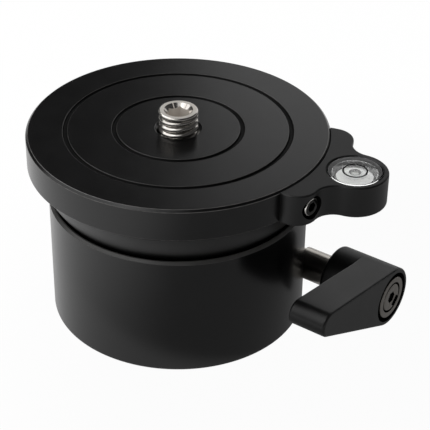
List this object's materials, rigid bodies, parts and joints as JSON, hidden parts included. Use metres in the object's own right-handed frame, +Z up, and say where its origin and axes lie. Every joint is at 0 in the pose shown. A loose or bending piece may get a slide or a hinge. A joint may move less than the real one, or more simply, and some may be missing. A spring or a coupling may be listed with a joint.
{
  "type": "leveling base",
  "caption": "Half-ball leveling base: a round plate with a threaded stud and a bubble level tilts and turns in a cylindrical cup, and a ratchet lever on a side shaft clamps it.",
  "frame": {"origin": "centre of the tripod thread on the bottom face", "axes": "+Z up, out of the top plate; +X parallel to the lever's shaft, away from the housing; +Y to the left of the lever as seen from above"},
  "size_m": [0.0883, 0.073, 0.0537],
  "materials": {
    "black_anodised": "satin black anodised, turned",
    "stainless": "turned stainless steel",
    "plain_steel": "plain steel",
    "dark_steel": "blackened steel",
    "gunmetal": "dark nickelled steel",
    "nylon": "natural nylon",
    "brass": "plain brass",
    "clear": "clear acrylic",
    "white": "gloss white",
    "liquid": "clear liquid",
    "air": "air bubble",
    "mark": "black paint"
  },
  "bodies": {
    "base": {"housing": "black_anodised", "base_plate": "black_anodised", "thread_insert": "stainless", "base_screws": "dark_steel"},
    "seat": {"seat_ring": "nylon"},
    "tie": {"slide_pad": "nylon", "draw_stem": "plain_steel", "disc_springs": "plain_steel", "spring_washer": "plain_steel", "lock_nut": "plain_steel"},
    "platform": {"bowl": "black_anodised", "top_plate": "black_anodised", "head_stud": "stainless", "stud_nut": "plain_steel", "level_arm": "black_anodised", "level_screws": "stainless", "vial_case": "clear", "vial_base": "white", "vial_liquid": "liquid", "vial_bubble": "air", "vial_mark": "mark"},
    "brake": {"brake_pin": "brass"},
    "screw": {"clamp_shaft": "stainless", "spline_collar": "plain_steel", "lever_washer": "gunmetal", "lever_screw": "gunmetal"},
    "lever": {"lever_handle": "black_anodised", "lever_spring": "plain_steel"}
  },
  "joints": [
    {"name": "swivel", "type": "hinge", "parent": "base", "child": "seat", "pos_m": [0, 0, 0.053], "axis": [0, 0, 1], "continuous": true},
    {"name": "tilt", "type": "hinge", "parent": "seat", "child": "tie", "pos_m": [0, 0, 0.053], "axis": [1, 0, 0], "range_deg": [-14, 14]},
    {"name": "pan", "type": "hinge", "parent": "tie", "child": "platform", "pos_m": [0, 0, 0.053], "axis": [0, 0, 1], "continuous": true},
    {"name": "pin_drop", "type": "slide", "parent": "base", "child": "brake", "axis": [0, 0, -1], "range_m": [0, 0.00024]},
    {"name": "lever_turn", "type": "hinge", "parent": "base", "child": "screw", "pos_m": [0.03, 0.018, 0.0104], "axis": [1, 0, 0], "range_deg": [0, 30]},
    {"name": "lever_pull", "type": "slide", "parent": "screw", "child": "lever", "axis": [1, 0, 0], "range_m": [0, 0.0039], "stiffness_N_per_m": 1500, "springref_m": -0.002, "deforming": ["lever_spring"]}
  ],
  "couplings": [
    {"joint": "pin_drop", "follows": "lever_turn", "m_per_rad": 0.00045837}
  ]
}
